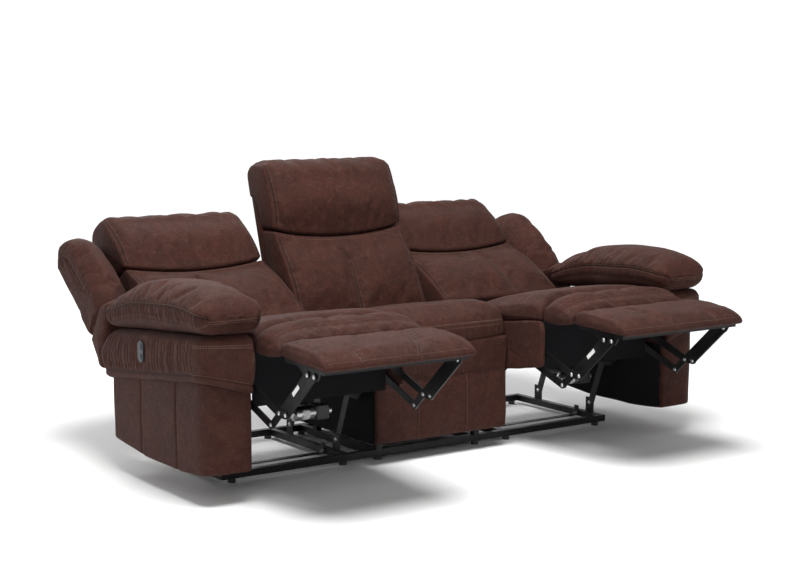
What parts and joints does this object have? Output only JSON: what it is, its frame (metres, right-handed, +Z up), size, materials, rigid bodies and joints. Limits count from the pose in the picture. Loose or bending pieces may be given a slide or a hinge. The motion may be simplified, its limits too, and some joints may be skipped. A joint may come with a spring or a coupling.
{
  "type": "reclining sofa",
  "caption": "Three-seat power reclining sofa: both end seats reclined on swing-link carriages with footrests out, an upright fixed middle seat and a steel base.",
  "frame": {"origin": "centre of the rest pose bounding box on the floor", "axes": "+Z up, +Y to the back of the sofa, +X along its length, to the right when facing the sofa"},
  "size_m": [2.264, 1.7137, 1.0729],
  "materials": {
    "brown_upholstery": "mottled dark brown faux leather over foam, with worn sheen and tonal stitching",
    "black_steel": "black painted steel strip and tube",
    "motor_metal": "zinc plated motor can and gear housing",
    "switch_plastic": "dark grey moulded plastic",
    "frame_board": "frame board covered in the brown upholstery",
    "dust_cloth": "black lining cloth on board"
  },
  "bodies": {
    "base": {"base_frame": "black_steel", "seat_posts": "black_steel", "cross_straps": "black_steel", "glide_feet": "black_steel", "middle_seat_box": "frame_board", "middle_front_panel": "brown_upholstery", "middle_seat_cushion": "brown_upholstery", "middle_back_shell": "brown_upholstery", "middle_lumbar_cushion": "brown_upholstery", "middle_head_cushion": "brown_upholstery"},
    "left_carriage": {"left_arm_panel": "brown_upholstery", "left_arm_band": "brown_upholstery", "left_arm_pillow": "brown_upholstery", "left_control_plate": "switch_plastic", "left_seat_deck": "frame_board", "left_front_dust_panel": "dust_cloth", "left_seat_cushion": "brown_upholstery", "left_leg_bridge": "brown_upholstery", "left_side_plates": "black_steel", "left_actuator": "motor_metal"},
    "left_front_swing": {"left_front_swing_links": "black_steel"},
    "left_rear_swing": {"left_rear_swing_links": "black_steel"},
    "left_back": {"left_back_shell": "brown_upholstery", "left_lumbar_cushion": "brown_upholstery", "left_head_cushion": "brown_upholstery", "left_wing_cushion": "brown_upholstery", "left_wing_skirt": "brown_upholstery"},
    "left_lower": {"left_lower_links": "black_steel"},
    "left_lower_rear": {"left_lower_rear_links": "black_steel"},
    "left_upper": {"left_upper_links": "black_steel"},
    "left_upper_front": {"left_upper_front_links": "black_steel"},
    "left_footrest": {"left_footrest_board": "frame_board", "left_footrest_pad": "brown_upholstery"},
    "left_recline_switch": {"left_recline_button": "switch_plastic"},
    "left_return_switch": {"left_return_button": "switch_plastic"},
    "right_carriage": {"right_arm_panel": "brown_upholstery", "right_arm_band": "brown_upholstery", "right_arm_pillow": "brown_upholstery", "right_control_plate": "switch_plastic", "right_seat_deck": "frame_board", "right_front_dust_panel": "dust_cloth", "right_seat_cushion": "brown_upholstery", "right_leg_bridge": "brown_upholstery", "right_side_plates": "black_steel", "right_actuator": "motor_metal"},
    "right_front_swing": {"right_front_swing_links": "black_steel"},
    "right_rear_swing": {"right_rear_swing_links": "black_steel"},
    "right_back": {"right_back_shell": "brown_upholstery", "right_lumbar_cushion": "brown_upholstery", "right_head_cushion": "brown_upholstery", "right_wing_cushion": "brown_upholstery", "right_wing_skirt": "brown_upholstery"},
    "right_lower": {"right_lower_links": "black_steel"},
    "right_lower_rear": {"right_lower_rear_links": "black_steel"},
    "right_upper": {"right_upper_links": "black_steel"},
    "right_upper_front": {"right_upper_front_links": "black_steel"},
    "right_footrest": {"right_footrest_board": "frame_board", "right_footrest_pad": "brown_upholstery"},
    "right_recline_switch": {"right_recline_button": "switch_plastic"},
    "right_return_switch": {"right_return_button": "switch_plastic"}
  },
  "joints": [
    {"name": "left_glide", "type": "hinge", "parent": "base", "child": "left_front_swing", "pos_m": [0, -0.0403, 0.075], "axis": [-1, 0, 0], "range_deg": [0, 61]},
    {"name": "left_glide_head", "type": "hinge", "parent": "left_front_swing", "child": "left_carriage", "pos_m": [0, -0.11067, 0.26221], "axis": [-1, 0, 0], "range_deg": [-61, 0]},
    {"name": "left_glide_rear", "type": "hinge", "parent": "base", "child": "left_rear_swing", "pos_m": [0, 0.2897, 0.075], "axis": [-1, 0, 0], "range_deg": [0, 61]},
    {"name": "left_recline", "type": "hinge", "parent": "left_carriage", "child": "left_back", "pos_m": [0, 0.1577, 0.319], "axis": [1, 0, 0], "range_deg": [0, 32], "deforming": ["left_wing_skirt"]},
    {"name": "left_footrest", "type": "hinge", "parent": "left_carriage", "child": "left_lower", "pos_m": [0, -0.2813, 0.428], "axis": [1, 0, 0], "range_deg": [0, 88], "deforming": ["left_leg_bridge"]},
    {"name": "left_footrest_rear_link", "type": "hinge", "parent": "left_carriage", "child": "left_lower_rear", "pos_m": [0, -0.22928, 0.38116], "axis": [1, 0, 0], "range_deg": [0, 88]},
    {"name": "left_footrest_knee", "type": "hinge", "parent": "left_lower", "child": "left_upper", "pos_m": [0, -0.56321, 0.32539], "axis": [1, 0, 0], "range_deg": [-88, 0]},
    {"name": "left_footrest_front_link", "type": "hinge", "parent": "left_lower", "child": "left_upper_front", "pos_m": [0, -0.60321, 0.32539], "axis": [1, 0, 0], "range_deg": [-88, 0]},
    {"name": "left_footrest_toe", "type": "hinge", "parent": "left_upper", "child": "left_footrest", "pos_m": [0, -0.72744, 0.47327], "axis": [1, 0, 0], "range_deg": [0, 88]},
    {"name": "left_recline_press", "type": "slide", "parent": "left_carriage", "child": "left_recline_switch", "axis": [1, 0, 0], "range_m": [0, 0.002], "stiffness_N_per_m": 500},
    {"name": "left_return_press", "type": "slide", "parent": "left_carriage", "child": "left_return_switch", "axis": [1, 0, 0], "range_m": [0, 0.002], "stiffness_N_per_m": 500},
    {"name": "right_glide", "type": "hinge", "parent": "base", "child": "right_front_swing", "pos_m": [0, -0.0403, 0.075], "axis": [-1, 0, 0], "range_deg": [0, 61]},
    {"name": "right_glide_head", "type": "hinge", "parent": "right_front_swing", "child": "right_carriage", "pos_m": [0, -0.11067, 0.26221], "axis": [-1, 0, 0], "range_deg": [-61, 0]},
    {"name": "right_glide_rear", "type": "hinge", "parent": "base", "child": "right_rear_swing", "pos_m": [0, 0.2897, 0.075], "axis": [-1, 0, 0], "range_deg": [0, 61]},
    {"name": "right_recline", "type": "hinge", "parent": "right_carriage", "child": "right_back", "pos_m": [0, 0.1577, 0.319], "axis": [1, 0, 0], "range_deg": [0, 32], "deforming": ["right_wing_skirt"]},
    {"name": "right_footrest", "type": "hinge", "parent": "right_carriage", "child": "right_lower", "pos_m": [0, -0.2813, 0.428], "axis": [1, 0, 0], "range_deg": [0, 88], "deforming": ["right_leg_bridge"]},
    {"name": "right_footrest_rear_link", "type": "hinge", "parent": "right_carriage", "child": "right_lower_rear", "pos_m": [0, -0.22928, 0.38116], "axis": [1, 0, 0], "range_deg": [0, 88]},
    {"name": "right_footrest_knee", "type": "hinge", "parent": "right_lower", "child": "right_upper", "pos_m": [0, -0.56321, 0.32539], "axis": [1, 0, 0], "range_deg": [-88, 0]},
    {"name": "right_footrest_front_link", "type": "hinge", "parent": "right_lower", "child": "right_upper_front", "pos_m": [0, -0.60321, 0.32539], "axis": [1, 0, 0], "range_deg": [-88, 0]},
    {"name": "right_footrest_toe", "type": "hinge", "parent": "right_upper", "child": "right_footrest", "pos_m": [0, -0.72744, 0.47327], "axis": [1, 0, 0], "range_deg": [0, 88]},
    {"name": "right_recline_press", "type": "slide", "parent": "right_carriage", "child": "right_recline_switch", "axis": [-1, 0, 0], "range_m": [0, 0.002], "stiffness_N_per_m": 500},
    {"name": "right_return_press", "type": "slide", "parent": "right_carriage", "child": "right_return_switch", "axis": [-1, 0, 0], "range_m": [0, 0.002], "stiffness_N_per_m": 500}
  ],
  "couplings": [
    {"joint": "left_glide_head", "follows": "left_glide", "ratio": -1},
    {"joint": "left_glide_rear", "follows": "left_glide", "ratio": 1},
    {"joint": "left_recline", "follows": "left_glide", "ratio": 0.52459},
    {"joint": "left_footrest_rear_link", "follows": "left_footrest", "ratio": 1},
    {"joint": "left_footrest_knee", "follows": "left_footrest", "ratio": -1},
    {"joint": "left_footrest_front_link", "follows": "left_footrest", "ratio": -1},
    {"joint": "left_footrest_toe", "follows": "left_footrest", "ratio": 1},
    {"joint": "right_glide_head", "follows": "right_glide", "ratio": -1},
    {"joint": "right_glide_rear", "follows": "right_glide", "ratio": 1},
    {"joint": "right_recline", "follows": "right_glide", "ratio": 0.52459},
    {"joint": "right_footrest_rear_link", "follows": "right_footrest", "ratio": 1},
    {"joint": "right_footrest_knee", "follows": "right_footrest", "ratio": -1},
    {"joint": "right_footrest_front_link", "follows": "right_footrest", "ratio": -1},
    {"joint": "right_footrest_toe", "follows": "right_footrest", "ratio": 1}
  ]
}
